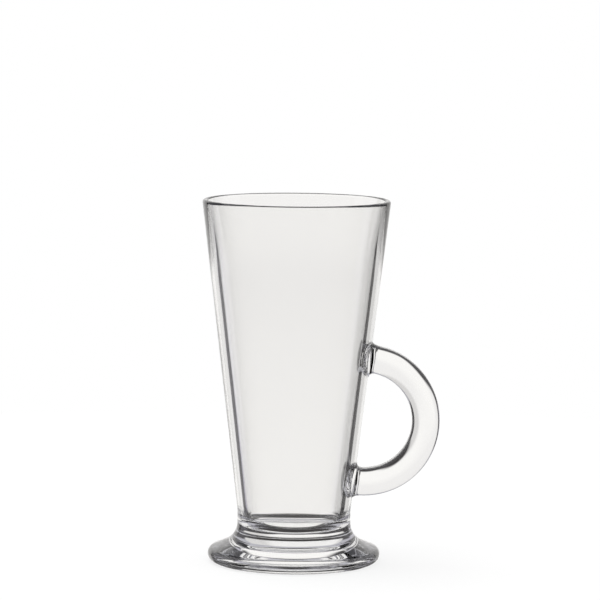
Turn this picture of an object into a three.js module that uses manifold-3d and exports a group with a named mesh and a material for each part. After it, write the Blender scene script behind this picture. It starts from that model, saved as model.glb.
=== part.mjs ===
// Clear pressed-glass latte mug: a conical bowl fused to a flared foot, with a half-ring handle welded on.
// Millimetres, +Z up. The mug stands on z = 0 and its handle points along +X.

import * as THREE from "three";
import { mergeVertices } from "three/addons/utils/BufferGeometryUtils.js";
import Module from "manifold-3d";

// Bowl
const HEIGHT = 145.5;
const RIM_DIAMETER = 75;
const RIM_WALL = 2.2;
const LIP_LENGTH = 22;
const LIP_BLEND_RADIUS = 250;
const WALL = 3.8;
const NECK_DIAMETER = 45.4;
const NECK_LENGTH = 5;
const NECK_BLEND_RADIUS = 20;
const FLOOR_THICKNESS = 3.2;
const FLOOR_DISH = 0.6;
const FLOOR_CORNER_RADIUS = 7;

// Foot
const FOOT_DIAMETER = 69;
const FOOT_HEIGHT = 9.5;
const FOOT_LOWER_EDGE_RADIUS = 3.3;
const FOOT_UPPER_EDGE_RADIUS = 2.8;
const FOOT_SLOPE_DEGREES = 22.4;
const FLARE_RADIUS = 8.9;
const BEARING_RING_WIDTH = 9;
const UNDERSIDE_RECESS = 3;
const UNDERSIDE_FLATNESS = 12;

// Handle, a half ring of crowned square bar whose centre stands a little out from the wall
const HANDLE_HEIGHT = 57.3;
const HANDLE_STANDOFF = 0.6;
const HANDLE_OUTER_RADIUS = 30.4;
const HANDLE_WIDTH = 11.2;
const HANDLE_THICKNESS = 11;
const HANDLE_EDGE_RADIUS = 3.4;
const HANDLE_ROUNDNESS = 0.3;

// Welds, the flared collars that join the handle's ends to the wall
const WELD_LENGTH = 2.8;
const WELD_SWELL = 1.6;
const WELD_ROUNDNESS = 0.9;
const WELD_CLEARANCE = 0.3;

// Facets
const TURN_SEGMENTS = 60;
const ARC_STEPS = 6;
const RECESS_STEPS = 12;
const HANDLE_STEPS = 36;
const WELD_STEPS = 6;

const GLASS_COLOUR = 0xeef1f0;
const GLASS_ROUGHNESS = 0.04;
const GLASS_OPACITY = 0.35;

const wasm = await Module();
wasm.setup();

// Heights and radii that follow from the sizes above
const rimRadius = RIM_DIAMETER / 2;
const beadRadius = RIM_WALL / 2;
const neckRadius = NECK_DIAMETER / 2;
const footRadius = FOOT_DIAMETER / 2;
const slope = THREE.MathUtils.degToRad(FOOT_SLOPE_DEGREES);
const slopeStart = footRadius - FOOT_UPPER_EDGE_RADIUS * (1 - Math.sin(slope));
const slopeEnd = neckRadius + FLARE_RADIUS * (1 - Math.sin(slope));
const neckBottom =
  FOOT_LOWER_EDGE_RADIUS +
  (FOOT_UPPER_EDGE_RADIUS + FLARE_RADIUS) * Math.cos(slope) +
  (slopeStart - slopeEnd) * Math.tan(slope);
const neckTop = neckBottom + NECK_LENGTH;
const beadHeight = HEIGHT - beadRadius;
const outerTaper = Math.atan((rimRadius - neckRadius) / (beadHeight - neckTop));
const lipTaper = Math.atan(Math.tan(outerTaper) + (WALL - RIM_WALL) / LIP_LENGTH);
const handleMidRadius = HANDLE_OUTER_RADIUS - HANDLE_WIDTH / 2;
const handleCentre = coneRadius(HANDLE_HEIGHT) + HANDLE_STANDOFF;
const handleReach = handleCentre + HANDLE_OUTER_RADIUS;

// The radius of the cone's outside at a height
function coneRadius(height) {
  return neckRadius + (height - neckTop) * Math.tan(outerTaper);
}

// Points on an arc in the profile plane, where x is the radius and y the height
function arc(centreX, centreY, radius, from, to) {
  const points = [];
  for (let i = 0; i <= ARC_STEPS; i++) {
    const angle = from + ((to - from) * i) / ARC_STEPS;
    points.push(new THREE.Vector2(centreX + radius * Math.cos(angle), centreY + radius * Math.sin(angle)));
  }
  return points;
}

// An arc of the given radius that rounds the corner of a profile
function roundedCorner(before, corner, after, radius) {
  const back = before.clone().sub(corner).normalize();
  const ahead = after.clone().sub(corner).normalize();
  const halfAngle = Math.acos(back.dot(ahead)) / 2;
  const middle = back.clone().add(ahead).normalize();
  const centre = corner.clone().addScaledVector(middle, radius / Math.sin(halfAngle));
  const start = corner.clone().addScaledVector(back, radius / Math.tan(halfAngle)).sub(centre);
  const end = corner.clone().addScaledVector(ahead, radius / Math.tan(halfAngle)).sub(centre);
  const turn = Math.atan2(start.cross(end), start.dot(end));
  return arc(centre.x, centre.y, radius, start.angle(), start.angle() + turn);
}

// The mug's outline from the bearing ring up to the rim, without the rounded rim
function outerProfile() {
  const low = FOOT_LOWER_EDGE_RADIUS;
  const high = FOOT_UPPER_EDGE_RADIUS;
  const neckCorner = new THREE.Vector2(neckRadius, neckTop);
  const neckStart = new THREE.Vector2(neckRadius, neckBottom);
  const coneEnd = new THREE.Vector2(rimRadius, beadHeight);
  return [
    ...arc(footRadius - low, low, low, -Math.PI / 2, 0),
    ...arc(footRadius - high, low, high, 0, Math.PI / 2 - slope).slice(1),
    ...arc(neckRadius + FLARE_RADIUS, neckBottom, FLARE_RADIUS, 1.5 * Math.PI - slope, Math.PI),
    ...roundedCorner(neckStart, neckCorner, coneEnd, NECK_BLEND_RADIUS),
  ];
}

// The point where a rising profile crosses the given height
function crossing(profile, height) {
  const next = profile.findIndex((point) => point.y > height);
  const below = profile[next - 1];
  const above = profile[next];
  return below.clone().lerp(above, (height - below.y) / (above.y - below.y));
}

// The rounded rim, from the outer wall over the top to the inner wall
function rimProfile() {
  return arc(rimRadius - beadRadius, beadHeight, beadRadius, -outerTaper, Math.PI - lipTaper);
}

// The inside of the bowl, from the rim down the lip and the even wall to the middle of the floor
function innerProfile() {
  const floor = FOOT_HEIGHT + FLOOR_THICKNESS;
  const lipHeight = beadHeight - LIP_LENGTH;
  const cornerHeight = floor + FLOOR_DISH;
  const lipTop = new THREE.Vector2(rimRadius - RIM_WALL, beadHeight);
  const lipEnd = new THREE.Vector2(coneRadius(lipHeight) - WALL, lipHeight);
  const corner = new THREE.Vector2(coneRadius(cornerHeight) - WALL, cornerHeight);
  const middle = new THREE.Vector2(0, floor);
  const lip = roundedCorner(lipTop, lipEnd, corner, LIP_BLEND_RADIUS);
  const rounded = roundedCorner(lipEnd, corner, middle, FLOOR_CORNER_RADIUS);
  const edge = rounded.at(-1);
  const dish = new THREE.QuadraticBezierCurve(edge, new THREE.Vector2(edge.x / 2, floor), middle);
  return [...lip, ...rounded, ...dish.getPoints(ARC_STEPS).slice(1)];
}

// Drops everything but the positions and joins the vertices that lie together
function welded(geometry) {
  geometry.deleteAttribute("normal");
  geometry.deleteAttribute("uv");
  return mergeVertices(geometry);
}

// A profile turned about the mug's axis, which is +Z
function turned(profile) {
  const geometry = new THREE.LatheGeometry(profile, TURN_SEGMENTS);
  geometry.rotateX(Math.PI / 2);
  return welded(geometry);
}

function bowlGeometry() {
  const outer = outerProfile();
  const seam = crossing(outer, FOOT_HEIGHT);
  const above = outer.filter((point) => point.y > FOOT_HEIGHT);
  const middle = new THREE.Vector2(0, FOOT_HEIGHT);
  return turned([middle, seam, ...above, ...rimProfile(), ...innerProfile()]);
}

// The flat-topped hollow under the foot, from the mug's axis out to the bearing ring
function recessProfile() {
  const edge = footRadius - FOOT_LOWER_EDGE_RADIUS - BEARING_RING_WIDTH;
  const points = [];
  for (let i = 0; i <= RECESS_STEPS; i++) {
    const share = Math.sin((Math.PI / 2) * (i / RECESS_STEPS));
    points.push(new THREE.Vector2(edge * share, UNDERSIDE_RECESS * (1 - share ** UNDERSIDE_FLATNESS)));
  }
  return points;
}

function footGeometry() {
  const outer = outerProfile();
  const seam = crossing(outer, FOOT_HEIGHT);
  const below = outer.filter((point) => point.y < FOOT_HEIGHT);
  return turned([...recessProfile(), ...below, seam, new THREE.Vector2(0, FOOT_HEIGHT)]);
}

// The wall's outside grown by the clearance, for cutting the welds to sit on it
function wallGeometry() {
  const grown = outerProfile().filter((point) => point.y > FOOT_HEIGHT);
  grown.push(new THREE.Vector2(rimRadius, beadHeight));
  const skin = grown.map((point) => new THREE.Vector2(point.x + WELD_CLEARANCE, point.y));
  const bottom = new THREE.Vector2(0, skin[0].y);
  const top = new THREE.Vector2(0, beadHeight);
  return turned([bottom, ...skin, top]);
}

// Points drawn by a share towards the circle of their mean distance from the middle
function drawnRound(points, share) {
  const radius = points.reduce((sum, point) => sum + point.length(), 0) / points.length;
  return points.map((point) => point.clone().setLength(THREE.MathUtils.lerp(point.length(), radius, share)));
}

// The section of the handle's bar: x across its thickness, y across its width
function barSection() {
  const side = HANDLE_THICKNESS / 2;
  const top = HANDLE_WIDTH / 2;
  const corner = HANDLE_EDGE_RADIUS;
  const square = [
    new THREE.Vector2(side, 0),
    ...arc(side - corner, top - corner, corner, 0, Math.PI / 2),
    new THREE.Vector2(0, top),
    ...arc(corner - side, top - corner, corner, Math.PI / 2, Math.PI),
    new THREE.Vector2(-side, 0),
    ...arc(corner - side, corner - top, corner, Math.PI, 1.5 * Math.PI),
    new THREE.Vector2(0, -top),
    ...arc(side - corner, corner - top, corner, 1.5 * Math.PI, 2 * Math.PI),
  ];
  const crowned = drawnRound(square, HANDLE_ROUNDNESS);
  const width = Math.max(...crowned.map((point) => point.x));
  const height = Math.max(...crowned.map((point) => point.y));
  const fit = new THREE.Vector2(side / width, top / height);
  return crowned.map((point) => point.multiply(fit));
}

// The section of a weld, which spreads past the bar and grows round towards the wall
function weldSection(share) {
  const grown = barSection().map((point) => point.setLength(point.length() + WELD_SWELL * share));
  return drawnRound(grown, WELD_ROUNDNESS * share);
}

// The angle on the handle's ring at which its middle line stands one weld's length off the wall
function handleEndAngle(side) {
  const standoff = HANDLE_STANDOFF * Math.cos(outerTaper);
  return side * Math.acos((WELD_LENGTH - standoff) / handleMidRadius) - outerTaper;
}

// The middle line of the handle's bar, from its lower end round to its upper end
class HandleLine extends THREE.Curve {
  angleAt(share) {
    return THREE.MathUtils.lerp(handleEndAngle(-1), handleEndAngle(1), share);
  }
  getPoint(share, target = new THREE.Vector3()) {
    const angle = this.angleAt(share);
    const x = handleCentre + handleMidRadius * Math.cos(angle);
    return target.set(x, 0, HANDLE_HEIGHT + handleMidRadius * Math.sin(angle));
  }
  getTangent(share, target = new THREE.Vector3()) {
    const angle = this.angleAt(share);
    return target.set(-Math.sin(angle), 0, Math.cos(angle));
  }
}

function handleGeometry() {
  const section = new THREE.Shape(barSection());
  const sweep = { extrudePath: new HandleLine(), steps: HANDLE_STEPS };
  return welded(new THREE.ExtrudeGeometry(section, sweep));
}

// One closed skin over rings of points that correspond, with a fan of triangles over each end
function lofted(rings) {
  const count = rings[0].length;
  const middles = [rings[0], rings.at(-1)].map((ring) => {
    const sum = ring.reduce((total, point) => total.add(point), new THREE.Vector3());
    return sum.divideScalar(count);
  });
  const index = [];
  const first = rings.length * count;
  for (let i = 0; i < count; i++) {
    const next = (i + 1) % count;
    for (let base = 0; base < first - count; base += count) {
      index.push(base + i, base + next, base + count + next);
      index.push(base + i, base + count + next, base + count + i);
    }
    index.push(first, next, i);
    index.push(first + 1, first - count + i, first - count + next);
  }
  const geometry = new THREE.BufferGeometry().setFromPoints([...rings.flat(), ...middles]);
  geometry.setIndex(index);
  return mergeVertices(geometry);
}

function solidFrom(geometry) {
  const vertProperties = new Float32Array(geometry.attributes.position.array);
  const triVerts = new Uint32Array(geometry.index.array);
  return new wasm.Manifold(new wasm.Mesh({ numProp: 3, vertProperties, triVerts }));
}

function geometryFrom(solid) {
  const mesh = solid.getMesh();
  const geometry = new THREE.BufferGeometry();
  geometry.setAttribute("position", new THREE.BufferAttribute(mesh.vertProperties, 3));
  geometry.setIndex(new THREE.BufferAttribute(mesh.triVerts, 1));
  return geometry;
}

// A collar that carries the bar on to the wall and flares there as a fillet does
function weldGeometry(side) {
  const end = handleEndAngle(side);
  const rings = [];
  const addRing = (distance, share) => {
    const angle = end + (side * distance) / handleMidRadius;
    const along = new THREE.Vector3(Math.cos(angle), 0, Math.sin(angle));
    const ring = weldSection(share).map((point) => {
      const place = new THREE.Vector3(handleCentre, -side * point.x, HANDLE_HEIGHT);
      return place.addScaledVector(along, handleMidRadius + point.y);
    });
    rings.push(ring);
  };
  for (let i = 0; i <= WELD_STEPS; i++) {
    const turn = (Math.PI / 2) * (i / WELD_STEPS);
    addRing(WELD_LENGTH * Math.sin(turn), 1 - Math.cos(turn));
  }
  addRing(WELD_LENGTH + HANDLE_WIDTH / 2, 1);
  const collar = solidFrom(lofted(rings));
  return geometryFrom(collar.subtract(solidFrom(wallGeometry())));
}

function glassMesh(name, geometry) {
  const material = new THREE.MeshStandardMaterial({
    color: GLASS_COLOUR,
    roughness: GLASS_ROUGHNESS,
    metalness: 0,
    transparent: true,
    opacity: GLASS_OPACITY,
  });
  geometry.computeVertexNormals();
  const mesh = new THREE.Mesh(geometry, material);
  mesh.name = name;
  return mesh;
}

// The bowl's axis stands off the origin, so that the origin is the middle of the whole mug's footprint
const mug = new THREE.Group();
mug.position.x = (rimRadius - handleReach) / 2;
mug.add(glassMesh("bowl", bowlGeometry()));
mug.add(glassMesh("foot", footGeometry()));
mug.add(glassMesh("handle", handleGeometry()));
mug.add(glassMesh("upper_handle_weld", weldGeometry(1)));
mug.add(glassMesh("lower_handle_weld", weldGeometry(-1)));

const part = new THREE.Group();
part.add(mug);

export default part;
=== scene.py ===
"""A clear glass latte mug: turned bowl and foot, a half-ring handle and its two fused welds."""

import math

import bpy
from bpy.props import FloatProperty, FloatVectorProperty, IntProperty, PointerProperty
from mathutils import Matrix, Vector


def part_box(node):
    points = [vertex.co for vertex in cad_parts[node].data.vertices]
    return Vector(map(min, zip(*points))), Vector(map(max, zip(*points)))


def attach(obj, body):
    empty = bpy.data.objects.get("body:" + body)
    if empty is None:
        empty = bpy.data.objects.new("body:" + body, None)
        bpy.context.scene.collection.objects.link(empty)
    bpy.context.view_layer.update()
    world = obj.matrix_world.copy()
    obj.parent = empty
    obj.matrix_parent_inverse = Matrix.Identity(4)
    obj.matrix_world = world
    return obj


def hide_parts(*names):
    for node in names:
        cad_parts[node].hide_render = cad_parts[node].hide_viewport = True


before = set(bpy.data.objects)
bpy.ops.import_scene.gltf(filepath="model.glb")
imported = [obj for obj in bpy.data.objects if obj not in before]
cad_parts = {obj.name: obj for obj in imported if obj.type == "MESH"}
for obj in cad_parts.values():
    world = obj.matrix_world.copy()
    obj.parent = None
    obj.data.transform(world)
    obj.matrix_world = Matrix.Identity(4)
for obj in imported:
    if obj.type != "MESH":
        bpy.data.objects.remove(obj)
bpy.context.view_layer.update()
BOWL_LOW, BOWL_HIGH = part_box("bowl")
FOOT_LOW, FOOT_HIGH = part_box("foot")
HANDLE_LOW, HANDLE_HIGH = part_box("handle")
MUG_AXIS = (BOWL_LOW + BOWL_HIGH) / 2

bl_info = {
    "name": "Glass Mug",
    "version": (1, 0, 0),
    "blender": (4, 5, 0),
    "location": "View3D > Sidebar > Mug",
    "description": "Builds a clear glass mug and a plain studio round it",
    "category": "Add Mesh",
}

# How close things count as the same, in metres, as a share or as an angle
SEAM_TOLERANCE = 1e-5
MERGE_DISTANCE = 1e-7
WALL_TOLERANCE = 0.02
FLAT_FACING = 0.999
SHARP_ANGLE = math.radians(35)

# Steps that the curves are drawn in
SHORTEST_ARC = 4
DISH_STEPS = 12
RECESS_STEPS = 40
RING_STEPS = 120
COLLAR_STEPS = 10
EDGE_STEPS = 8
SIDE_CUTS = 7


class MugSizes(bpy.types.PropertyGroup):
    """Sizes of the mug's pieces."""

    height: FloatProperty(
        name="Height", description="From the table to the top of the rim",
        default=BOWL_HIGH.z, unit="LENGTH")
    rim_radius: FloatProperty(
        name="Rim radius", description="Outside of the rim",
        default=(BOWL_HIGH.x - BOWL_LOW.x) / 2, unit="LENGTH")
    rim_wall: FloatProperty(
        name="Rim wall", description="Thickness of the wall at the rim",
        default=0.0022, unit="LENGTH")
    lip_length: FloatProperty(
        name="Lip length", description="How far below the rim the wall reaches its full thickness",
        default=0.022, unit="LENGTH")
    lip_blend: FloatProperty(
        name="Lip blend", description="Radius between the lip and the wall inside the bowl",
        default=0.25, unit="LENGTH")
    wall: FloatProperty(
        name="Wall", description="Thickness of the wall below the lip",
        default=0.0038, unit="LENGTH")
    neck_radius: FloatProperty(
        name="Neck radius", description="Outside of the neck between bowl and foot",
        default=0.0227, unit="LENGTH")
    neck_length: FloatProperty(
        name="Neck length", description="Straight part of the neck",
        default=0.005, unit="LENGTH")
    neck_blend: FloatProperty(
        name="Neck blend", description="Radius between the neck and the bowl's cone",
        default=0.02, unit="LENGTH")
    floor_thickness: FloatProperty(
        name="Floor thickness", description="Glass between the seam and the middle of the bowl's floor",
        default=0.0032, unit="LENGTH")
    floor_dish: FloatProperty(
        name="Floor dish", description="How far the floor's edge stands above its middle",
        default=0.0006, unit="LENGTH")
    floor_corner: FloatProperty(
        name="Floor corner", description="Radius between the floor and the inner wall",
        default=0.007, unit="LENGTH")
    seam_height: FloatProperty(
        name="Seam height", description="Where the bowl is fused to the foot",
        default=FOOT_HIGH.z, unit="LENGTH")
    foot_radius: FloatProperty(
        name="Foot radius", description="Outside of the foot",
        default=(FOOT_HIGH.x - FOOT_LOW.x) / 2, unit="LENGTH")
    foot_lower_edge: FloatProperty(
        name="Lower edge", description="Radius of the foot's lower edge",
        default=0.0033, unit="LENGTH")
    foot_upper_edge: FloatProperty(
        name="Upper edge", description="Radius of the foot's upper edge",
        default=0.0028, unit="LENGTH")
    foot_slope: FloatProperty(
        name="Foot slope", description="Slope of the foot's upper face",
        default=math.radians(22.4), subtype="ANGLE")
    flare: FloatProperty(
        name="Flare", description="Radius between the foot's upper face and the neck",
        default=0.0089, unit="LENGTH")
    bearing_ring: FloatProperty(
        name="Bearing ring", description="Width of the ring that the mug stands on",
        default=0.009, unit="LENGTH")
    recess: FloatProperty(
        name="Recess", description="Depth of the hollow under the foot",
        default=0.003, unit="LENGTH")
    recess_flatness: FloatProperty(
        name="Recess flatness", description="Shape of the hollow's top: 2 for a dome, more for a tray",
        default=12.0, min=1)
    handle_height: FloatProperty(
        name="Handle height", description="Middle of the handle's ring above the table",
        default=0.0573, unit="LENGTH")
    handle_radius: FloatProperty(
        name="Handle radius", description="Outside of the handle's ring",
        default=0.0304, unit="LENGTH")
    handle_reach: FloatProperty(
        name="Handle reach", description="From the mug's axis to the outside of the handle",
        default=HANDLE_HIGH.x - MUG_AXIS.x, unit="LENGTH")
    handle_width: FloatProperty(
        name="Bar width", description="Width of the handle's bar across the ring",
        default=0.0112, unit="LENGTH")
    handle_thickness: FloatProperty(
        name="Bar thickness", description="Thickness of the handle's bar from front to back",
        default=HANDLE_HIGH.y - HANDLE_LOW.y, unit="LENGTH")
    handle_edge: FloatProperty(
        name="Bar edge", description="Radius of the bar's four edges",
        default=0.0034, unit="LENGTH")
    handle_roundness: FloatProperty(
        name="Bar roundness", description="How far the bar's section goes from a square to a circle",
        default=0.3, min=0, max=1)
    weld_length: FloatProperty(
        name="Weld length", description="From the end of the bar to the wall",
        default=0.0028, unit="LENGTH")
    weld_swell: FloatProperty(
        name="Weld swell", description="How far the weld spreads past the bar at the wall",
        default=0.0016, unit="LENGTH")
    weld_roundness: FloatProperty(
        name="Weld roundness", description="How far the weld's outline at the wall goes on to a circle",
        default=0.9, min=0, max=1)
    turn_segments: IntProperty(
        name="Turned segments", description="Faces round the mug's axis", default=256, min=24)
    arc_step: FloatProperty(
        name="Arc step", description="Turn between two points of a rounded outline",
        default=math.radians(3), subtype="ANGLE")


class MugGlass(bpy.types.PropertyGroup):
    """Finish of the glass."""

    tint: FloatVectorProperty(
        name="Tint", description="Colour that the clear glass gives to light", subtype="COLOR",
        size=4, default=(0.994, 0.992, 0.988, 1.0), min=0, max=1)
    thick_tint: FloatVectorProperty(
        name="Thick tint", description="Colour in the streaks of the glass", subtype="COLOR",
        size=4, default=(0.985, 0.985, 0.985, 1.0), min=0, max=1)
    ior: FloatProperty(
        name="Refraction", description="Index of refraction", default=1.52, min=1)
    polish: FloatProperty(
        name="Polish", description="Roughness of the clean surface", default=0.0, min=0, max=1)
    smudge: FloatProperty(
        name="Smudge", description="Roughness that faint smudges add", default=0.02, min=0, max=1)
    ripple: FloatProperty(
        name="Ripple", description="Height of the mould's ripples", default=0.00002, unit="LENGTH")


class MugStudio(bpy.types.PropertyGroup):
    """Camera, floor and light."""

    camera_place: FloatVectorProperty(
        name="Camera", description="Place of the camera", subtype="TRANSLATION",
        size=3, default=(-0.00553, -1.41965, 0.25305))
    camera_pitch: FloatProperty(
        name="Pitch", description="How far the camera looks down",
        default=math.radians(5.941), subtype="ANGLE")
    camera_yaw: FloatProperty(
        name="Yaw", description="How far the camera looks to the left",
        default=math.radians(0.1257), subtype="ANGLE")
    camera_roll: FloatProperty(
        name="Roll", description="How far the camera leans",
        default=math.radians(0.5357), subtype="ANGLE")
    camera_lens: FloatProperty(
        name="Lens", description="Focal length in millimetres on a 36 mm sensor", default=214.7)
    floor_radius: FloatProperty(
        name="Floor radius", description="Radius of the pale table", default=0.45, unit="LENGTH")
    floor_colour: FloatVectorProperty(
        name="Floor", description="Colour of the table", subtype="COLOR",
        size=4, default=(0.95, 0.95, 0.95, 1))
    floor_white: FloatProperty(
        name="Floor white", description="Share of the table that the camera sees as plain white",
        default=0.8, min=0, max=1)
    floor_grain: FloatProperty(
        name="Floor grain", description="How much darker the table's grain is",
        default=0.005, min=0, max=1)
    sky: FloatProperty(
        name="Sky", description="Strength of the white round the set", default=0.95)
    lamp_power: FloatProperty(
        name="Lamp", description="Power of the soft lamp overhead in watts", default=4.0)
    lamp_size: FloatProperty(
        name="Lamp size", description="Width of the lamp's disk", default=0.6, unit="LENGTH")
    lamp_place: FloatVectorProperty(
        name="Lamp place", description="Place of the lamp", subtype="TRANSLATION",
        size=3, default=(-0.25, 0.1, 1.1))
    lamp_aim: FloatProperty(
        name="Lamp aim", description="Height on the mug's axis that the lamp points at",
        default=0.05, unit="LENGTH")
    dome_radius: FloatProperty(
        name="Dome radius", description="Radius of the studio that the glass mirrors",
        default=4.0, unit="LENGTH")
    dome_height: FloatProperty(
        name="Dome height", description="Height of the dome's middle above the table",
        default=0.07, unit="LENGTH")
    wall_shade: FloatVectorProperty(
        name="Walls", description="Colour of the studio's unlit walls", subtype="COLOR",
        size=4, default=(0.055, 0.053, 0.053, 1))


def sizes():
    return bpy.context.scene.mug_sizes


def glass_look():
    return bpy.context.scene.mug_glass


def studio():
    return bpy.context.scene.mug_studio


# Outline of the turned glass, where x is the radius and y the height

def arc(centre, radius, start, end):
    """Points on an arc, no further apart than one step of turn."""
    steps = max(SHORTEST_ARC, math.ceil(abs(end - start) / sizes().arc_step))
    angles = [start + (end - start) * step / steps for step in range(steps + 1)]
    return [centre + radius * Vector((math.cos(angle), math.sin(angle))) for angle in angles]


def rounded_corner(before, corner, after, radius):
    """An arc that rounds the corner between two straight stretches."""
    back = (before - corner).normalized()
    ahead = (after - corner).normalized()
    half = back.angle(ahead) / 2
    centre = corner + (back + ahead).normalized() * radius / math.sin(half)
    start = corner + back * radius / math.tan(half) - centre
    end = corner + ahead * radius / math.tan(half) - centre
    first = math.atan2(start.y, start.x)
    last = first + math.atan2(start.cross(end), start.dot(end))
    return arc(centre, radius, first, last)


def neck_bottom():
    size = sizes()
    slope = size.foot_slope
    upper_end = size.foot_radius - size.foot_upper_edge * (1 - math.sin(slope))
    flare_end = size.neck_radius + size.flare * (1 - math.sin(slope))
    rounds = (size.foot_upper_edge + size.flare) * math.cos(slope)
    return size.foot_lower_edge + rounds + (upper_end - flare_end) * math.tan(slope)


def neck_top():
    return neck_bottom() + sizes().neck_length


def bead_height():
    return sizes().height - sizes().rim_wall / 2


def outer_taper():
    return math.atan((sizes().rim_radius - sizes().neck_radius) / (bead_height() - neck_top()))


def lip_taper():
    size = sizes()
    return math.atan(math.tan(outer_taper()) + (size.wall - size.rim_wall) / size.lip_length)


def wall_radius(height):
    """Radius of the cone's outside at a height."""
    return sizes().neck_radius + (height - neck_top()) * math.tan(outer_taper())


def foot_outline():
    """From the bearing ring round the foot's edge and up the flare to the neck."""
    size = sizes()
    low = size.foot_lower_edge
    high = size.foot_upper_edge
    lower = arc(Vector((size.foot_radius - low, low)), low, -math.pi / 2, 0)
    upper = arc(Vector((size.foot_radius - high, low)), high, 0, math.pi / 2 - size.foot_slope)
    flare = Vector((size.neck_radius + size.flare, neck_bottom()))
    return lower + upper[1:] + arc(flare, size.flare, 1.5 * math.pi - size.foot_slope, math.pi)


def wall_outline():
    """From the neck up the outside of the cone to the rim."""
    size = sizes()
    below = Vector((size.neck_radius, neck_bottom()))
    corner = Vector((size.neck_radius, neck_top()))
    rim = Vector((size.rim_radius, bead_height()))
    return rounded_corner(below, corner, rim, size.neck_blend)


def seam_point():
    """Where the flare crosses the fused seam."""
    size = sizes()
    drop = neck_bottom() - size.seam_height
    reach = math.sqrt(size.flare ** 2 - drop ** 2)
    return Vector((size.neck_radius + size.flare - reach, size.seam_height))


def above_seam():
    return [point for point in foot_outline() if point.y > sizes().seam_height + SEAM_TOLERANCE]


def below_seam():
    return [point for point in foot_outline() if point.y < sizes().seam_height - SEAM_TOLERANCE]


def rim_outline():
    """Over the rounded rim, from the outer wall to the inner wall."""
    bead = sizes().rim_wall / 2
    centre = Vector((sizes().rim_radius - bead, bead_height()))
    return arc(centre, bead, -outer_taper(), math.pi - lip_taper())


def inner_outline():
    """Down the lip and the even wall and over the dished floor to the axis."""
    size = sizes()
    floor = size.seam_height + size.floor_thickness
    lip_height = bead_height() - size.lip_length
    edge_height = floor + size.floor_dish
    lip_top = Vector((size.rim_radius - size.rim_wall, bead_height()))
    lip_end = Vector((wall_radius(lip_height) - size.wall, lip_height))
    edge = Vector((wall_radius(edge_height) - size.wall, edge_height))
    middle = Vector((0, floor))
    lip = rounded_corner(lip_top, lip_end, edge, size.lip_blend)
    corner = rounded_corner(lip_end, edge, middle, size.floor_corner)
    start = corner[-1]
    turn_point = Vector((start.x / 2, floor))
    dish = []
    for step in range(1, DISH_STEPS + 1):
        share = step / DISH_STEPS
        left = 1 - share
        dish.append(left ** 2 * start + 2 * share * left * turn_point + share ** 2 * middle)
    return lip + corner + dish


def recess_outline():
    """From the axis over the flat-topped hollow under the foot to the bearing ring."""
    size = sizes()
    edge = size.foot_radius - size.foot_lower_edge - size.bearing_ring
    points = []
    for step in range(RECESS_STEPS + 1):
        share = math.sin(math.pi / 2 * step / RECESS_STEPS)
        points.append(Vector((edge * share, size.recess * (1 - share ** size.recess_flatness))))
    return points


# Ring of the handle

def handle_centre():
    return MUG_AXIS.x + sizes().handle_reach - sizes().handle_radius


def ring_middle():
    return Vector((handle_centre(), MUG_AXIS.y, sizes().handle_height))


def bar_radius():
    return sizes().handle_radius - sizes().handle_width / 2


def end_angle(side):
    """Angle on the ring where the bar's middle stands one weld's length off the wall."""
    standoff = handle_centre() - MUG_AXIS.x - wall_radius(sizes().handle_height)
    reach = sizes().weld_length - standoff * math.cos(outer_taper())
    return side * math.acos(reach / bar_radius()) - outer_taper()


# Modelling steps

def select_only(piece):
    """Makes a piece the active object and the only selected one."""
    bpy.ops.object.select_all(action="DESELECT")
    bpy.context.view_layer.objects.active = piece
    piece.select_set(True)


def choose_faces(piece, chosen):
    """Enters edit mode with only those faces selected that a test chooses."""
    select_only(piece)
    bpy.ops.object.mode_set(mode="EDIT")
    bpy.ops.mesh.select_mode(type="FACE")
    bpy.ops.mesh.select_all(action="DESELECT")
    bpy.ops.object.mode_set(mode="OBJECT")
    for face in piece.data.polygons:
        face.select = chosen(face)
    bpy.ops.object.mode_set(mode="EDIT")


def start_piece(name):
    """A new plane at the world's origin, in edit mode and all selected."""
    bpy.ops.object.select_all(action="DESELECT")
    bpy.ops.mesh.primitive_plane_add(size=1, location=(0, 0, 0))
    piece = bpy.context.object
    piece.name = name
    piece.data.name = name
    bpy.ops.object.mode_set(mode="EDIT")
    bpy.ops.mesh.select_mode(type="VERT")
    bpy.ops.mesh.select_all(action="SELECT")
    return piece


def turn(name, outline):
    """Draws an outline by extruding one vertex along it and spins it about the mug's axis."""
    piece = start_piece(name)
    bpy.ops.mesh.merge(type="CENTER")
    places = [Vector((MUG_AXIS.x + point.x, MUG_AXIS.y, point.y)) for point in outline]
    bpy.ops.transform.translate(value=places[0])
    for before, after in zip(places, places[1:]):
        bpy.ops.mesh.extrude_vertices_move(TRANSFORM_OT_translate={"value": after - before})
    bpy.ops.mesh.select_all(action="SELECT")
    bpy.ops.mesh.spin(
        steps=sizes().turn_segments, angle=2 * math.pi,
        axis=(0, 0, 1), center=(MUG_AXIS.x, MUG_AXIS.y, 0))
    bpy.ops.mesh.select_all(action="SELECT")
    bpy.ops.mesh.remove_doubles(threshold=MERGE_DISTANCE)
    close_up()
    return piece


def close_up():
    """Points all faces outwards and leaves edit mode."""
    bpy.ops.mesh.select_all(action="SELECT")
    bpy.ops.mesh.normals_make_consistent(inside=False)
    bpy.ops.object.mode_set(mode="OBJECT")


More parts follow.
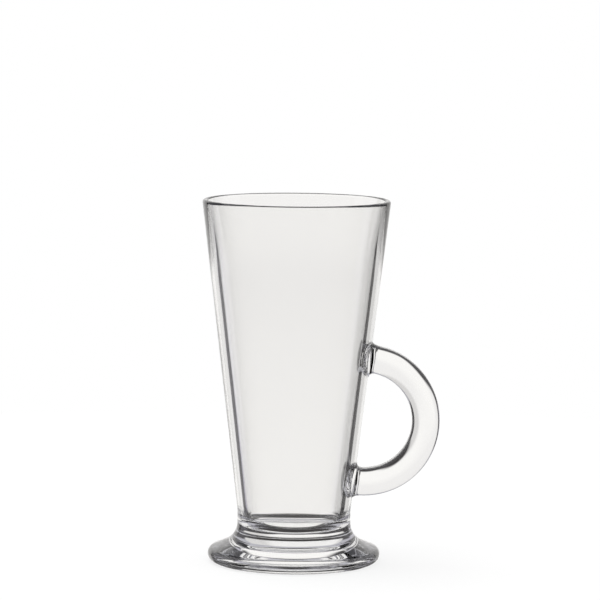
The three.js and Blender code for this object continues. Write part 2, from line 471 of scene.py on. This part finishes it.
def bar_section(name, angle):
    """The crowned square section of the handle's bar as one face, at an angle on the ring."""
    size = sizes()
    piece = start_piece(name)
    square = (size.handle_width, size.handle_thickness, 1)
    bpy.ops.transform.resize(value=square, center_override=(0, 0, 0))
    bpy.ops.mesh.bevel(offset=size.handle_edge, segments=EDGE_STEPS, affect="VERTICES")
    bpy.ops.mesh.select_mode(type="EDGE")
    bpy.ops.mesh.select_all(action="DESELECT")
    bpy.ops.object.mode_set(mode="OBJECT")
    points = piece.data.vertices
    for edge in piece.data.edges:
        start, end = edge.vertices
        edge.select = (points[start].co - points[end].co).length > size.handle_edge / 2
    bpy.ops.object.mode_set(mode="EDIT")
    bpy.ops.mesh.subdivide(number_cuts=SIDE_CUTS)
    bpy.ops.mesh.select_mode(type="VERT")
    bpy.ops.mesh.select_all(action="SELECT")
    bpy.ops.transform.tosphere(value=size.handle_roundness)
    bpy.ops.object.mode_set(mode="OBJECT")
    width = 2 * max(point.co.x for point in piece.data.vertices)
    thickness = 2 * max(point.co.y for point in piece.data.vertices)
    bpy.ops.object.mode_set(mode="EDIT")
    fit = (size.handle_width / width, size.handle_thickness / thickness, 1)
    bpy.ops.transform.resize(value=fit, center_override=(0, 0, 0))
    bpy.ops.transform.translate(value=ring_middle() + Vector((bar_radius(), 0, 0)))
    bpy.ops.transform.rotate(value=angle, orient_axis="Y", center_override=ring_middle())
    return piece


def assign(piece, material, chosen):
    """Gives a material to the faces that a test chooses."""
    if material.name not in piece.data.materials:
        piece.data.materials.append(material)
    choose_faces(piece, chosen)
    piece.active_material_index = piece.data.materials.find(material.name)
    bpy.ops.object.material_slot_assign()
    bpy.ops.object.mode_set(mode="OBJECT")


def stand_for(piece, node):
    """Smooths a finished piece and puts it in place of its node of the frame."""
    select_only(piece)
    bpy.ops.object.shade_smooth_by_angle(angle=SHARP_ANGLE)
    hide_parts(node)
    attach(piece, "root")


def on_seam(face):
    """True for the flat faces of the seam between bowl and foot."""
    flat = abs(face.normal.z) > FLAT_FACING
    return flat and abs(face.center.z - sizes().seam_height) < SEAM_TOLERANCE


def on_bar_end(side):
    """A test for the flat face at an end of the handle's bar."""
    angle = end_angle(side)
    outward = Vector((math.cos(angle), 0, math.sin(angle)))
    along = Vector((-math.sin(angle), 0, math.cos(angle)))

    def chosen(face):
        offset = face.center - ring_middle()
        flat = abs(face.normal.dot(along)) > FLAT_FACING
        return flat and abs(offset.dot(along)) < SEAM_TOLERANCE and offset.dot(outward) > 0
    return chosen


# Materials

def new_material(name):
    material = bpy.data.materials.new(name)
    material.use_nodes = True
    material.node_tree.nodes.clear()
    return material


def node(tree, kind, **settings):
    made = tree.nodes.new(kind)
    for name, value in settings.items():
        setattr(made, name, value)
    return made


def math_node(tree, operation, *values):
    """A maths node whose inputs are sockets or numbers."""
    made = node(tree, "ShaderNodeMath", operation=operation)
    for socket, value in zip(made.inputs, values):
        if isinstance(value, bpy.types.NodeSocket):
            tree.links.new(value, socket)
        else:
            socket.default_value = value
    return made.outputs[0]


def new_group(name, inputs, outputs):
    """A shader group with named sockets, and its input and output nodes."""
    tree = bpy.data.node_groups.new(name, "ShaderNodeTree")
    for label, kind, default in inputs:
        socket = tree.interface.new_socket(name=label, in_out="INPUT", socket_type=kind)
        if default is not None:
            socket.default_value = default
    for label, kind in outputs:
        tree.interface.new_socket(name=label, in_out="OUTPUT", socket_type=kind)
    return tree, node(tree, "NodeGroupInput"), node(tree, "NodeGroupOutput")


def pressed_glass_group():
    """The marks of pressed glass: smudges, mould ripples, seeds and streaks of colour."""
    name = "pressed glass marks"
    if name in bpy.data.node_groups:
        return bpy.data.node_groups[name]
    tree, given, put = new_group(
        name,
        [("Vector", "NodeSocketVector", None),
         ("Polish", "NodeSocketFloat", 0.0),
         ("Smudge", "NodeSocketFloat", 0.02),
         ("Clear", "NodeSocketColor", (1, 1, 1, 1)),
         ("Streak", "NodeSocketColor", (1, 1, 1, 1))],
        [("Colour", "NodeSocketColor"),
         ("Roughness", "NodeSocketFloat"),
         ("Height", "NodeSocketFloat")])
    link = tree.links.new
    smudges = node(tree, "ShaderNodeTexNoise")
    smudges.inputs["Scale"].default_value = 38
    smudges.inputs["Detail"].default_value = 3
    link(given.outputs["Vector"], smudges.inputs["Vector"])
    patches = node(tree, "ShaderNodeMapRange", interpolation_type="SMOOTHSTEP")
    patches.inputs["From Min"].default_value = 0.58
    patches.inputs["From Max"].default_value = 0.8
    link(smudges.outputs["Fac"], patches.inputs["Value"])
    smudge = math_node(tree, "MULTIPLY", patches.outputs["Result"], given.outputs["Smudge"])
    link(math_node(tree, "ADD", smudge, given.outputs["Polish"]), put.inputs["Roughness"])
    ripples = node(tree, "ShaderNodeTexNoise")
    ripples.inputs["Scale"].default_value = 55
    ripples.inputs["Detail"].default_value = 1
    link(given.outputs["Vector"], ripples.inputs["Vector"])
    seeds = node(tree, "ShaderNodeTexVoronoi", feature="F1")
    seeds.inputs["Scale"].default_value = 90
    link(given.outputs["Vector"], seeds.inputs["Vector"])
    seed = node(tree, "ShaderNodeMapRange", interpolation_type="SMOOTHSTEP")
    seed.inputs["From Min"].default_value = 0.022
    seed.inputs["From Max"].default_value = 0.01
    link(seeds.outputs["Distance"], seed.inputs["Value"])
    link(math_node(tree, "ADD", ripples.outputs["Fac"], seed.outputs["Result"]), put.inputs["Height"])
    streaks = node(tree, "ShaderNodeTexNoise")
    streaks.inputs["Scale"].default_value = 14
    link(given.outputs["Vector"], streaks.inputs["Vector"])
    blend = node(tree, "ShaderNodeMix", data_type="RGBA")
    link(streaks.outputs["Fac"], blend.inputs["Factor"])
    link(given.outputs["Clear"], blend.inputs["A"])
    link(given.outputs["Streak"], blend.inputs["B"])
    link(blend.outputs["Result"], put.inputs["Colour"])
    return tree


def glass_material(name, ripple_share=1.0):
    """Clear glass with faint smudges and ripples."""
    if name in bpy.data.materials:
        return bpy.data.materials[name]
    look = glass_look()
    material = new_material(name)
    tree = material.node_tree
    shader = node(tree, "ShaderNodeBsdfPrincipled")
    shader.inputs["Transmission Weight"].default_value = 1
    shader.inputs["IOR"].default_value = look.ior
    output = node(tree, "ShaderNodeOutputMaterial")
    tree.links.new(shader.outputs["BSDF"], output.inputs["Surface"])
    marks = node(tree, "ShaderNodeGroup")
    marks.node_tree = pressed_glass_group()
    marks.inputs["Polish"].default_value = look.polish
    marks.inputs["Smudge"].default_value = look.smudge
    marks.inputs["Clear"].default_value = look.tint
    marks.inputs["Streak"].default_value = look.thick_tint
    places = node(tree, "ShaderNodeTexCoord")
    tree.links.new(places.outputs["Object"], marks.inputs["Vector"])
    tree.links.new(marks.outputs["Colour"], shader.inputs["Base Color"])
    tree.links.new(marks.outputs["Roughness"], shader.inputs["Roughness"])
    bump = node(tree, "ShaderNodeBump")
    bump.inputs["Strength"].default_value = 1
    bump.inputs["Distance"].default_value = look.ripple * ripple_share
    tree.links.new(marks.outputs["Height"], bump.inputs["Height"])
    tree.links.new(bump.outputs["Normal"], shader.inputs["Normal"])
    return material


def seam_material():
    """Glass fused to glass, which light crosses without bending."""
    name = "fused seam"
    if name in bpy.data.materials:
        return bpy.data.materials[name]
    material = new_material(name)
    tree = material.node_tree
    shader = node(tree, "ShaderNodeBsdfTransparent")
    output = node(tree, "ShaderNodeOutputMaterial")
    tree.links.new(shader.outputs["BSDF"], output.inputs["Surface"])
    return material


class MUG_OT_bowl(bpy.types.Operator):
    """Turns the bowl with its rounded rim and dished floor."""

    bl_idname = "mug.bowl"
    bl_label = "Turn the Bowl"

    def execute(self, context):
        middle = Vector((0, sizes().seam_height))
        outside = [middle, seam_point(), *above_seam(), *wall_outline(), *rim_outline()]
        bowl = turn("mug_bowl", [*outside, *inner_outline()])
        bowl.data.materials.append(glass_material("bowl glass"))
        assign(bowl, seam_material(), on_seam)
        stand_for(bowl, "bowl")
        return {"FINISHED"}


class MUG_OT_foot(bpy.types.Operator):
    """Turns the flared foot with the hollow under it."""

    bl_idname = "mug.foot"
    bl_label = "Turn the Foot"

    def execute(self, context):
        middle = Vector((0, sizes().seam_height))
        foot = turn("mug_foot", [*recess_outline(), *below_seam(), seam_point(), middle])
        foot.data.materials.append(glass_material("foot glass"))
        assign(foot, seam_material(), on_seam)
        stand_for(foot, "foot")
        return {"FINISHED"}


class MUG_OT_handle(bpy.types.Operator):
    """Sweeps the handle's crowned square bar round its ring."""

    bl_idname = "mug.handle"
    bl_label = "Sweep the Handle"

    def execute(self, context):
        handle = bar_section("mug_handle", end_angle(-1))
        bpy.ops.mesh.spin(
            steps=RING_STEPS, angle=end_angle(1) - end_angle(-1),
            axis=(0, 1, 0), center=ring_middle())
        close_up()
        handle.data.materials.append(glass_material("handle glass"))
        assign(handle, seam_material(), on_bar_end(-1))
        assign(handle, seam_material(), on_bar_end(1))
        stand_for(handle, "handle")
        return {"FINISHED"}


class MUG_OT_welds(bpy.types.Operator):
    """Draws the bar's ends out to the wall as flared collars and fuses them to the bowl."""

    bl_idname = "mug.welds"
    bl_label = "Fuse the Welds"

    def execute(self, context):
        bottom = Vector((0, neck_top()))
        top = Vector((0, bead_height()))
        wall = turn("wall_form", [bottom, *wall_outline(), rim_outline()[0], top])
        for side, name in ((1, "upper"), (-1, "lower")):
            collar = self.draw_collar(side, f"mug_{name}_weld")
            self.print_on_bowl(collar)
            self.cut_to_wall(collar, wall)
            collar.data.materials.append(glass_material("handle glass"))
            assign(collar, seam_material(), on_bar_end(side))
            assign(collar, seam_material(), self.on_wall)
            stand_for(collar, f"{name}_handle_weld")
        bpy.data.objects.remove(wall)
        return {"FINISHED"}

    def draw_collar(self, side, name):
        """Extrudes the bar's section on round the ring, spreading as a fillet does and growing round."""
        size = sizes()
        collar = bar_section(name, end_angle(side))
        for step in range(1, COLLAR_STEPS + 1):
            turn_now = math.pi / 2 * step / COLLAR_STEPS
            turn_before = math.pi / 2 * (step - 1) / COLLAR_STEPS
            advance = size.weld_length * (math.sin(turn_now) - math.sin(turn_before))
            spread = 1 - math.cos(turn_now)
            spread_before = 1 - math.cos(turn_before)
            square_now = 1 - size.weld_roundness * spread
            square_before = 1 - size.weld_roundness * spread_before
            self.extend(side * advance / bar_radius())
            bpy.ops.transform.push_pull(value=-size.weld_swell * (spread - spread_before))
            bpy.ops.transform.tosphere(value=1 - square_now / square_before)
        self.extend(side * size.handle_width / 2 / bar_radius())
        close_up()
        return collar

    def extend(self, angle):
        """Extrudes the collar's end by an angle round the ring."""
        bpy.ops.mesh.extrude_region_move(TRANSFORM_OT_translate={"value": (0, 0, 0)})
        bpy.ops.transform.rotate(value=angle, orient_axis="Y", center_override=ring_middle())

    def print_on_bowl(self, collar):
        """Cuts the collar's outline into the bowl's wall, and makes the faces inside it a seam."""
        bowl = bpy.data.objects["mug_bowl"]
        select_only(collar)
        bpy.ops.object.duplicate()
        cutter = bpy.context.object
        cutter.data.materials.clear()
        count = len(bowl.data.polygons)
        select_only(bowl)
        cutter.select_set(True)
        bpy.ops.object.join()
        marker = bowl.data.attributes.new("cutter", "BOOLEAN", "FACE")
        for index in range(count, len(bowl.data.polygons)):
            marker.data[index].value = True
        choose_faces(bowl, lambda face: face.index >= count)
        bpy.ops.mesh.intersect(mode="SELECT_UNSELECT", separate_mode="NONE", solver="EXACT")
        bpy.ops.object.mode_set(mode="OBJECT")
        choose_faces(bowl, lambda face: bowl.data.attributes["cutter"].data[face.index].value)
        bpy.ops.mesh.delete(type="FACE")
        bpy.ops.object.mode_set(mode="OBJECT")
        bowl.data.attributes.remove(bowl.data.attributes["cutter"])

        def fused(face):
            return self.on_wall(face) and self.inside(collar, face.center)
        assign(bowl, seam_material(), fused)

    def on_wall(self, face):
        """True for faces that lie on the outside of the bowl's cone."""
        offset = face.center - MUG_AXIS
        offset.z = 0
        depth = wall_radius(face.center.z) - offset.length
        return abs(depth) < WALL_TOLERANCE * sizes().weld_length

    def inside(self, collar, point):
        """True for a point within the collar, which is never a bar's width away from its skin."""
        reach = sizes().handle_width
        found, near, normal = collar.closest_point_on_mesh(point, distance=reach)[:3]
        return found and (point - near).dot(normal) < 0

    def cut_to_wall(self, collar, wall):
        """Takes the wall's form away from the collar, which leaves a saddle on its end."""
        select_only(collar)
        bpy.ops.object.modifier_add(type="BOOLEAN")
        cut = collar.modifiers[-1]
        cut.operation = "DIFFERENCE"
        cut.solver = "EXACT"
        cut.object = wall
        bpy.ops.object.modifier_apply(modifier=cut.name)


class MUG_OT_stage(bpy.types.Operator):
    """Sets up the camera, the table, the lamps and the studio that the glass mirrors."""

    bl_idname = "mug.stage"
    bl_label = "Set Up the Studio"

    def execute(self, context):
        camera = self.add_camera()
        self.add_floor()
        self.add_sky()
        self.add_lamp()
        self.add_dome(camera)
        context.scene.view_settings.view_transform = "Standard"
        light_paths = context.scene.cycles
        light_paths.max_bounces = 32
        light_paths.transmission_bounces = 32
        light_paths.glossy_bounces = 16
        light_paths.transparent_max_bounces = 32
        return {"FINISHED"}

    def add_camera(self):
        data = bpy.data.cameras.new("camera")
        data.lens = studio().camera_lens
        camera = bpy.data.objects.new("camera", data)
        bpy.context.scene.collection.objects.link(camera)
        turn_left = Matrix.Rotation(studio().camera_yaw, 4, "Z")
        look_down = Matrix.Rotation(math.pi / 2 - studio().camera_pitch, 4, "X")
        lean = Matrix.Rotation(studio().camera_roll, 4, "Z")
        camera.matrix_world = Matrix.Translation(studio().camera_place) @ turn_left @ look_down @ lean
        bpy.context.scene.camera = camera
        return camera

    def add_floor(self):
        bpy.ops.object.select_all(action="DESELECT")
        bpy.ops.mesh.primitive_circle_add(
            vertices=96, radius=studio().floor_radius, fill_type="NGON",
            location=(MUG_AXIS.x, MUG_AXIS.y, 0))
        floor = bpy.context.object
        floor.name = "table"
        material = new_material("pale table")
        tree = material.node_tree
        shader = node(tree, "ShaderNodeBsdfDiffuse")
        glow = node(tree, "ShaderNodeEmission")
        path = node(tree, "ShaderNodeLightPath")
        share = math_node(tree, "MULTIPLY", path.outputs["Is Camera Ray"], studio().floor_white)
        blend = node(tree, "ShaderNodeMixShader")
        tree.links.new(share, blend.inputs["Fac"])
        tree.links.new(shader.outputs["BSDF"], blend.inputs[1])
        tree.links.new(glow.outputs["Emission"], blend.inputs[2])
        grain = node(tree, "ShaderNodeTexNoise")
        grain.inputs["Scale"].default_value = 12
        tone = node(tree, "ShaderNodeMix", data_type="RGBA")
        pale = studio().floor_colour
        tone.inputs["A"].default_value = pale
        tone.inputs["B"].default_value = [part * (1 - studio().floor_grain) for part in pale]
        tree.links.new(grain.outputs["Fac"], tone.inputs["Factor"])
        tree.links.new(tone.outputs["Result"], shader.inputs["Color"])
        output = node(tree, "ShaderNodeOutputMaterial")
        tree.links.new(blend.outputs["Shader"], output.inputs["Surface"])
        floor.data.materials.append(material)
        floor.visible_glossy = False
        floor.visible_transmission = False

    def add_sky(self):
        """White for everything that the camera sees, directly or through the glass."""
        world = bpy.data.worlds.new("white studio")
        bpy.context.scene.world = world
        world.use_nodes = True
        tree = world.node_tree
        tree.nodes.clear()
        path = node(tree, "ShaderNodeLightPath")
        seen = math_node(tree, "MAXIMUM", path.outputs["Is Camera Ray"], path.outputs["Is Glossy Ray"])
        seen = math_node(tree, "MAXIMUM", seen, path.outputs["Is Transmission Ray"])
        strength = node(tree, "ShaderNodeMapRange")
        strength.inputs["To Min"].default_value = studio().sky
        strength.inputs["To Max"].default_value = 1
        tree.links.new(seen, strength.inputs["Value"])
        back = node(tree, "ShaderNodeBackground")
        tree.links.new(strength.outputs["Result"], back.inputs["Strength"])
        output = node(tree, "ShaderNodeOutputWorld")
        tree.links.new(back.outputs["Background"], output.inputs["Surface"])
        back.inputs["Color"].default_value = (1, 1, 1, 1)

    def add_lamp(self):
        data = bpy.data.lights.new("overhead lamp", "AREA")
        data.shape = "DISK"
        data.size = studio().lamp_size
        data.energy = studio().lamp_power
        lamp = bpy.data.objects.new("overhead lamp", data)
        bpy.context.scene.collection.objects.link(lamp)
        lamp.location = studio().lamp_place
        aim = Vector((MUG_AXIS.x, MUG_AXIS.y, studio().lamp_aim)) - lamp.location
        lamp.rotation_mode = "QUATERNION"
        lamp.rotation_quaternion = aim.to_track_quat("-Z", "Y")
        lamp.visible_glossy = False
        lamp.visible_transmission = False

    def add_dome(self, camera):
        """The studio as glass sees it: dark walls, a bright backdrop behind the mug and soft boxes."""
        bpy.ops.object.select_all(action="DESELECT")
        bpy.ops.mesh.primitive_uv_sphere_add(
            segments=64, ring_count=32, radius=studio().dome_radius,
            location=(MUG_AXIS.x, MUG_AXIS.y, studio().dome_height))
        dome = bpy.context.object
        dome.name = "studio_dome"
        bpy.ops.object.shade_smooth()
        dome.data.materials.append(self.dome_material())
        dome.visible_camera = False
        dome.visible_diffuse = False
        dome.visible_shadow = False
        dome.parent = camera
        dome.matrix_parent_inverse = camera.matrix_world.inverted()

    def dome_material(self):
        """Glowing walls on which each card covers what comes before it."""
        material = new_material("studio walls")
        tree = material.node_tree
        link = tree.links.new
        places = node(tree, "ShaderNodeTexCoord")
        unit = node(tree, "ShaderNodeVectorMath", operation="NORMALIZE")
        link(places.outputs["Object"], unit.inputs[0])
        parts = node(tree, "ShaderNodeSeparateXYZ")
        link(unit.outputs["Vector"], parts.inputs["Vector"])
        azimuth = math_node(tree, "ARCTAN2", parts.outputs["X"], parts.outputs["Y"])
        azimuth = math_node(tree, "DEGREES", azimuth)
        elevation = math_node(tree, "DEGREES", math_node(tree, "ARCSINE", parts.outputs["Z"]))
        card_tree = self.card_group()
        colour = None
        for card in STUDIO_CARDS:
            mask = node(tree, "ShaderNodeGroup", label=card["name"])
            mask.node_tree = card_tree
            link(azimuth, mask.inputs["Azimuth"])
            link(elevation, mask.inputs["Elevation"])
            for key in ("Left", "Right", "Low", "High", "Left Fade", "Right Fade", "Fade"):
                mask.inputs[key].default_value = card[key]
            blend = node(tree, "ShaderNodeMix", data_type="RGBA")
            link(mask.outputs["Mask"], blend.inputs["Factor"])
            if colour:
                link(colour, blend.inputs["A"])
            else:
                blend.inputs["A"].default_value = studio().wall_shade
            blend.inputs["B"].default_value = card["colour"]
            colour = blend.outputs["Result"]
        glow = node(tree, "ShaderNodeEmission")
        link(colour, glow.inputs["Color"])
        output = node(tree, "ShaderNodeOutputMaterial")
        link(glow.outputs["Emission"], output.inputs["Surface"])
        return material

    def card_group(self):
        """A soft-edged rectangle on the studio's walls, in degrees."""
        inputs = [(label, "NodeSocketFloat", 0.0) for label in (
            "Azimuth", "Elevation", "Left", "Right", "Low", "High", "Left Fade", "Right Fade", "Fade")]
        tree, given, put = new_group("studio card", inputs, [("Mask", "NodeSocketFloat")])

        def rise(value, edge, fade):
            """From 0 to 1 over the fade before an edge."""
            start = math_node(tree, "SUBTRACT", edge, fade)
            ramp = node(tree, "ShaderNodeMapRange", interpolation_type="SMOOTHSTEP")
            tree.links.new(value, ramp.inputs["Value"])
            tree.links.new(start, ramp.inputs["From Min"])
            tree.links.new(edge, ramp.inputs["From Max"])
            return ramp.outputs["Result"]

        def mirrored(value):
            return math_node(tree, "MULTIPLY", value, -1.0)

        sides = given.outputs
        left = rise(sides["Azimuth"], sides["Left"], sides["Left Fade"])
        right = rise(mirrored(sides["Azimuth"]), mirrored(sides["Right"]), sides["Right Fade"])
        low = rise(sides["Elevation"], sides["Low"], sides["Fade"])
        high = rise(mirrored(sides["Elevation"]), mirrored(sides["High"]), sides["Fade"])
        across = math_node(tree, "MULTIPLY", left, right)
        upwards = math_node(tree, "MULTIPLY", low, high)
        tree.links.new(math_node(tree, "MULTIPLY", across, upwards), put.inputs["Mask"])
        return tree


def card(name, left, right, low, high, colour, left_fade=3, right_fade=3, fade=6):
    """A lit card on the studio's walls: degrees from straight behind the mug, and above the horizon."""
    return {
        "name": name, "Left": left, "Right": right, "Low": low, "High": high,
        "Left Fade": left_fade, "Right Fade": right_fade, "Fade": fade, "colour": (*colour, 1),
    }


STUDIO_CARDS = [
    card("upper soft box", -95, 95, 12, 62, (0.5, 0.5, 0.54), fade=8),
    card("left soft box", -66, -50, -16, 22, (0.5, 0.485, 0.55), left_fade=6, fade=8),
    card("wings", -36, 35, -17, 26, (0.74, 0.73, 0.72), left_fade=2),
    card("backdrop", -29, 11, -18, 26, (0.95, 0.94, 0.93), left_fade=7, right_fade=9, fade=8),
    card("table edge", -14, 8, -33, -11, (1.04, 1.03, 1.01), left_fade=8, right_fade=8, fade=8),
]


class MUG_PT_panel(bpy.types.Panel):
    """Sizes, finish and steps of the glass mug."""

    bl_idname = "MUG_PT_panel"
    bl_label = "Glass Mug"
    bl_space_type = "VIEW_3D"
    bl_region_type = "UI"
    bl_category = "Mug"

    def draw(self, context):
        for operator in OPERATORS:
            self.layout.operator(operator.bl_idname)
        for group in (context.scene.mug_sizes, context.scene.mug_glass, context.scene.mug_studio):
            box = self.layout.box()
            for name in group.__annotations__:
                box.prop(group, name)


OPERATORS = (MUG_OT_bowl, MUG_OT_foot, MUG_OT_handle, MUG_OT_welds, MUG_OT_stage)
CLASSES = (MugSizes, MugGlass, MugStudio, *OPERATORS, MUG_PT_panel)


def register():
    for each in CLASSES:
        bpy.utils.register_class(each)
    bpy.types.Scene.mug_sizes = PointerProperty(type=MugSizes)
    bpy.types.Scene.mug_glass = PointerProperty(type=MugGlass)
    bpy.types.Scene.mug_studio = PointerProperty(type=MugStudio)


def unregister():
    del bpy.types.Scene.mug_studio
    del bpy.types.Scene.mug_glass
    del bpy.types.Scene.mug_sizes
    for each in reversed(CLASSES):
        bpy.utils.unregister_class(each)


def main():
    register()
    bpy.ops.mug.bowl()
    bpy.ops.mug.foot()
    bpy.ops.mug.handle()
    bpy.ops.mug.welds()
    bpy.ops.mug.stage()


if __name__ == "__main__":
    main()
